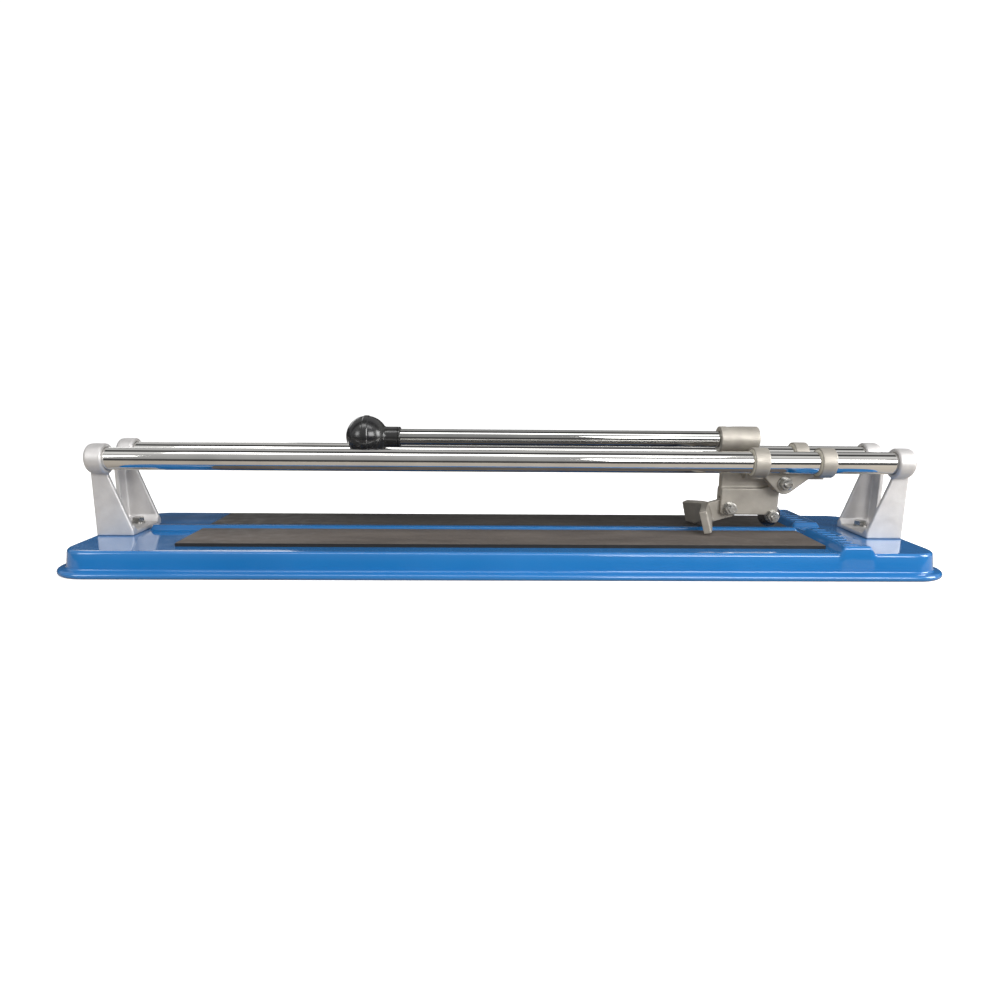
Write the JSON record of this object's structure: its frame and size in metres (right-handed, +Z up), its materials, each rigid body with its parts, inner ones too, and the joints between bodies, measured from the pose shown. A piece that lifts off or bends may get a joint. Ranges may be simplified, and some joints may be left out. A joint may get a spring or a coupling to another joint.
{
  "type": "tile cutter",
  "caption": "Twin-rail hand tile cutter: a sliding carriage on chromed rails holds a lever with a scoring wheel and a breaker foot over a pressed tray with rubber mats and a fence.",
  "frame": {"origin": "on the bench, under the middle of the tray", "axes": "+X along the rails towards the fence, +Y across the rails, +Z up"},
  "size_m": [0.764, 0.196, 0.1308],
  "materials": {
    "tray_enamel": "gloss enamel on pressed steel",
    "mat_rubber": "matt moulded rubber",
    "cast_alloy": "matt die casting",
    "chrome": "bright polished plating",
    "zinc": "satin zinc plating",
    "nylon": "plain moulded",
    "black_steel": "blackened",
    "knob_plastic": "satin moulded",
    "carbide": "ground"
  },
  "bodies": {
    "frame": {"base_tray": "tray_enamel", "mat_front": "mat_rubber", "mat_back": "mat_rubber", "bracket_left": "cast_alloy", "bracket_right": "cast_alloy", "rail_front": "chrome", "rail_back": "chrome", "bracket_screws": "zinc", "bracket_washers": "zinc", "bracket_nuts": "zinc"},
    "carriage": {"slider_front": "cast_alloy", "slider_back": "cast_alloy", "bushes_front": "nylon", "bushes_back": "nylon", "pivot_bolt": "zinc", "pivot_washers": "zinc", "pivot_spacers": "nylon", "pivot_nut": "zinc"},
    "handle": {"handle_block": "cast_alloy", "handle_rod": "chrome", "rod_set_screw": "black_steel", "handle_knob": "knob_plastic", "breaker_bolt": "zinc", "breaker_washers": "zinc", "breaker_nut": "zinc", "wheel_bolt": "zinc", "wheel_spacers": "nylon", "wheel_washers": "zinc", "wheel_nut": "zinc"},
    "breaker": {"breaker_foot": "cast_alloy"},
    "wheel": {"scoring_wheel": "carbide"}
  },
  "joints": [
    {"name": "carriage_slide", "type": "slide", "parent": "frame", "child": "carriage", "axis": [1, 0, 0], "range_m": [-0.502, 0.045]},
    {"name": "handle_pivot", "type": "hinge", "parent": "carriage", "child": "handle", "pos_m": [0.26, 0, 0.072], "axis": [0, 1, 0], "range_deg": [0, 21]},
    {"name": "breaker_swivel", "type": "hinge", "parent": "handle", "child": "breaker", "pos_m": [0.2145, 0, 0.0465], "axis": [0, 1, 0], "range_deg": [0, 8]},
    {"name": "wheel_spin", "type": "hinge", "parent": "handle", "child": "wheel", "pos_m": [0.2555, 0, 0.039], "axis": [0, 1, 0], "continuous": true}
  ]
}
